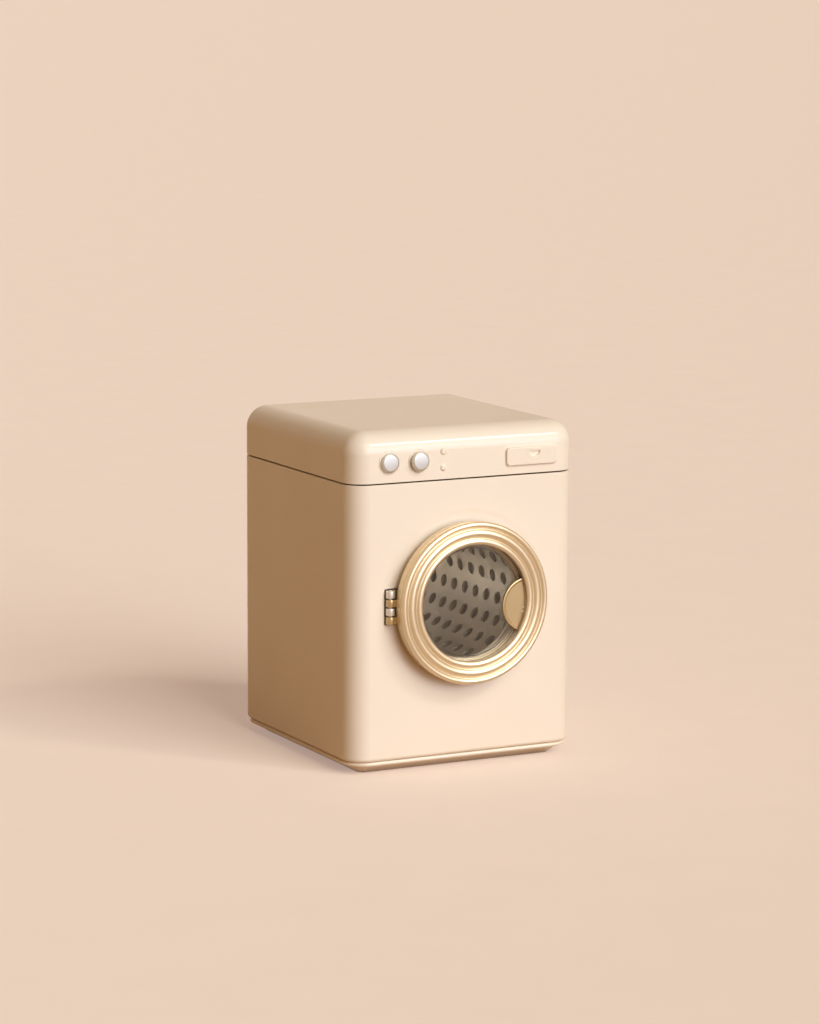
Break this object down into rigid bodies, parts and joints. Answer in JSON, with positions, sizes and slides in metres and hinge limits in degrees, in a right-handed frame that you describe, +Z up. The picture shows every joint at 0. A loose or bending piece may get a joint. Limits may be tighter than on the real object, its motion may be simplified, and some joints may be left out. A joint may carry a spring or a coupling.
{
  "type": "toy washing machine",
  "caption": "Doll-size sheet-metal washing machine with a round hinged porthole door, turning knobs and a perforated drum that spins.",
  "frame": {"origin": "on the floor, at the centre of the flat underside of the base, which is the middle of the cabinet's footprint", "axes": "+Z up, -Y out of the front with the door, +X to the right as seen from the front"},
  "size_m": [0.078, 0.0886, 0.105],
  "materials": {
    "enamel": "glossy cream stove enamel on pressed tin",
    "brass": "satin pale brass, spun and lacquered",
    "silver": "satin bright plating",
    "drum_steel": "dull rolled steel with punched holes",
    "hardware": "plain zinc-plated steel",
    "magnet": "dark sintered ferrite",
    "window": "clear vacuum-formed plastic"
  },
  "bodies": {
    "cabinet": {"cabinet_shell": "enamel", "top_cover": "enamel", "base_pan": "enamel", "door_magnet": "magnet", "hinge_leaf_body": "silver", "hinge_pin": "silver", "hinge_rivets_body": "silver", "drum_axle": "silver", "axle_plate": "hardware", "axle_spacer": "hardware", "axle_washer": "silver", "axle_push_nut": "hardware"},
    "door": {"door_ring": "brass", "door_window": "window", "door_backing_ring": "brass", "door_pull": "brass", "hinge_leaf_door": "brass", "hinge_rivets_door": "brass"},
    "drum": {"drum_barrel": "drum_steel", "drum_front_ring": "drum_steel", "drum_back_plate": "drum_steel", "drum_bush": "brass"},
    "knob_left": {"knob_left": "silver", "knob_left_clip": "hardware"},
    "knob_right": {"knob_right": "silver", "knob_right_clip": "hardware"}
  },
  "joints": [
    {"name": "door_hinge", "type": "hinge", "parent": "cabinet", "child": "door", "pos_m": [-0.0261, -0.04125, 0.0518], "axis": [0, 0, -1], "range_deg": [0, 110]},
    {"name": "drum_spin", "type": "hinge", "parent": "cabinet", "child": "drum", "pos_m": [0, 0, 0.0518], "axis": [0, 1, 0], "continuous": true},
    {"name": "knob_left_turn", "type": "hinge", "parent": "cabinet", "child": "knob_left", "pos_m": [-0.0261, -0.0406, 0.0956], "axis": [0, 1, 0], "continuous": true},
    {"name": "knob_right_turn", "type": "hinge", "parent": "cabinet", "child": "knob_right", "pos_m": [-0.0162, -0.0406, 0.0956], "axis": [0, 1, 0], "continuous": true}
  ]
}
